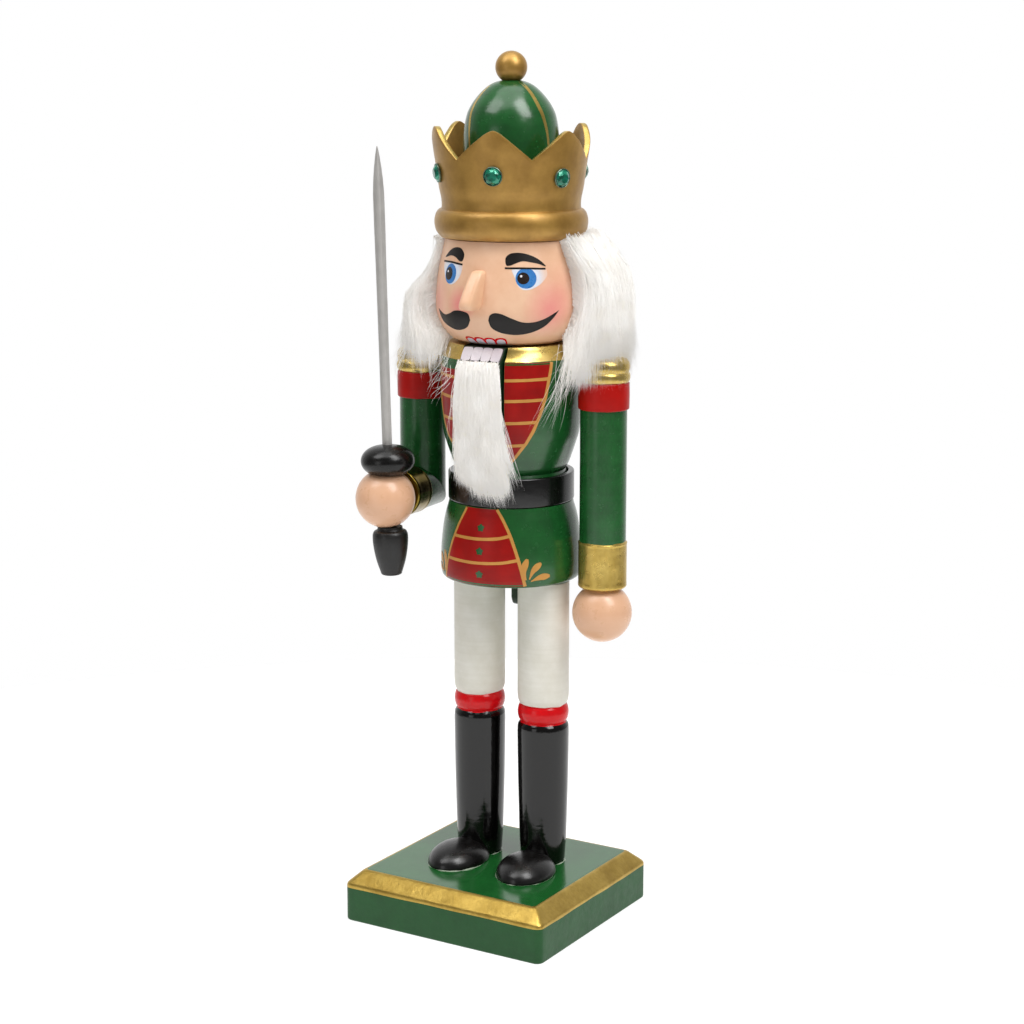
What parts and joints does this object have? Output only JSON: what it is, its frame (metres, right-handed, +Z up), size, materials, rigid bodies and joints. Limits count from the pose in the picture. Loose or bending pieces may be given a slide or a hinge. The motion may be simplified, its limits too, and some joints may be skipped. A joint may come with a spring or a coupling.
{
  "type": "nutcracker figure",
  "caption": "Standing turned-wood king with crown, sword, fur hair and beard; a lever in the back opens and closes the jaw.",
  "frame": {"origin": "centre of the flat underside of the base", "axes": "+Z up; the base's front edge and the figure's face look along -Y, and the figure's left hand is at +X"},
  "size_m": [0.1115, 0.1077, 0.38],
  "materials": {
    "green_paint": "gloss paint, green with gold, red and black painted areas",
    "white_paint": "satin paint, white with red and black painted areas",
    "black_paint": "gloss lacquer, black",
    "gold_paint": "metallic gold paint",
    "skin_paint": "satin paint, flesh colour with a painted face",
    "fur": "long white synthetic fur",
    "belt": "shiny black band",
    "silver_paint": "metallic silver paint",
    "gem": "faceted green stone, clear and shiny",
    "bare_wood": "bare turned beech",
    "steel": "bright steel"
  },
  "bodies": {
    "figure": {"arm_left": "green_paint", "arm_right_upper": "green_paint", "base_block": "green_paint", "base_screw_left": "steel", "base_screw_right": "steel", "belt_band": "belt", "boot_toe_left": "black_paint", "boot_toe_right": "black_paint", "cap_dome": "green_paint", "crown_cup": "gold_paint", "crown_dowel": "bare_wood", "elbow_dowel": "bare_wood", "finial_ball": "gold_paint", "finial_pin": "steel", "forearm_right": "green_paint", "gem_1": "gem", "gem_2": "gem", "gem_3": "gem", "gem_4": "gem", "gem_5": "gem", "gem_6": "gem", "hand_left": "skin_paint", "hand_right": "skin_paint", "head": "skin_paint", "hip_dowel_left": "bare_wood", "hip_dowel_right": "bare_wood", "leg_left": "white_paint", "leg_right": "white_paint", "neck_dowel_left": "bare_wood", "neck_dowel_right": "bare_wood", "nose": "skin_paint", "pivot_pin": "steel", "shoulder_dowel_left": "bare_wood", "shoulder_dowel_right": "bare_wood", "sword_blade": "silver_paint", "sword_guard": "black_paint", "sword_pommel": "black_paint", "sword_spindle": "steel", "torso": "green_paint", "wig": "fur", "wrist_dowel_left": "bare_wood", "wrist_dowel_right": "bare_wood"},
    "lever": {"jaw_lever": "green_paint", "beard": "fur"}
  },
  "joints": [
    {"name": "jaw_hinge", "type": "hinge", "parent": "figure", "child": "lever", "pos_m": [0.00149, 0.00801, 0.24], "axis": [0.9954, 0.0958, 0], "range_deg": [0, 20], "deforming": ["beard"]}
  ]
}
